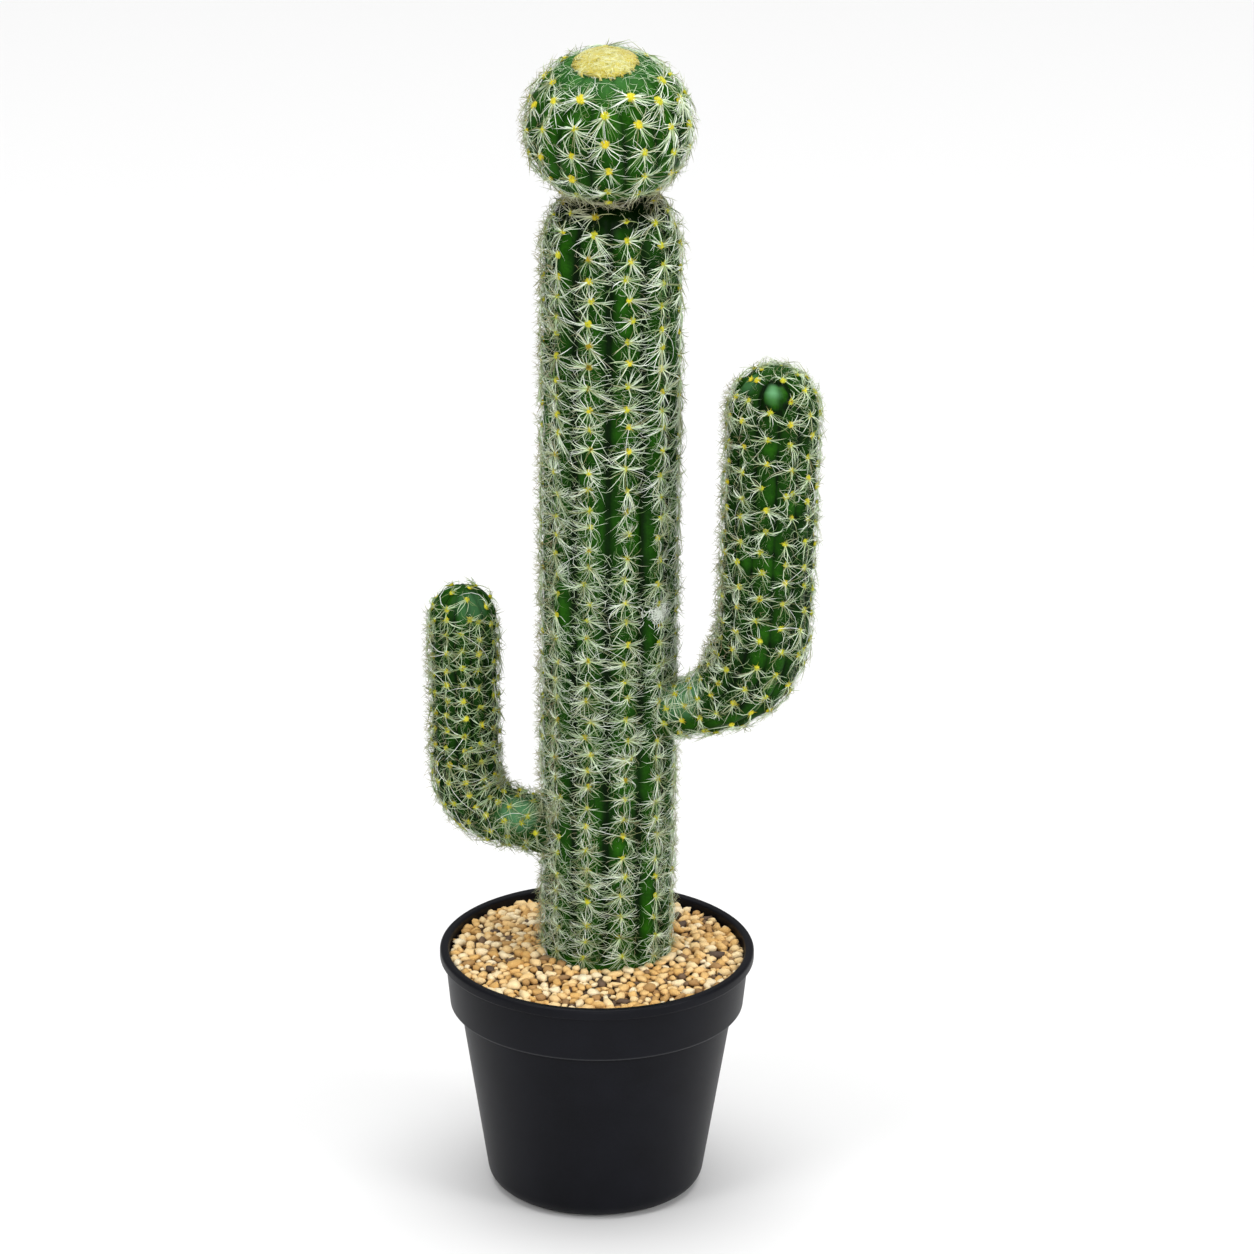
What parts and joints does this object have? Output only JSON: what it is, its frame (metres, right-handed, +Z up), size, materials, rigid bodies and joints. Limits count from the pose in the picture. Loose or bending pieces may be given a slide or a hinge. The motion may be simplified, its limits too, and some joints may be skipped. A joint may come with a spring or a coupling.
{
  "type": "potted old man cactus",
  "caption": "Hairy columnar cactus with two upturned side arms and a ball head, standing in a round nursery pot dressed with gravel.",
  "frame": {"origin": "centre of the pot's underside, on the surface it stands on", "axes": "+Z up; +X towards the side of the larger, higher arm; -Y towards the viewer of the picture"},
  "size_m": [0.1918, 0.15, 0.5739],
  "materials": {
    "pot_plastic": "black moulded plastic with a soft sheen",
    "potting_soil": "dark crumbly bark and peat",
    "gravel": "cream, tan and brown washed pebbles, dry",
    "stem": "ribbed green skin with a slight wax gloss, yellow areoles and white hairs",
    "crown_wool": "matted pale yellow wool"
  },
  "bodies": {
    "root": {"pot": "pot_plastic", "potting_soil": "potting_soil", "gravel": "gravel", "column": "stem", "right_arm": "stem", "left_arm": "stem", "head": "stem", "crown_wool": "crown_wool"}
  },
  "joints": []
}
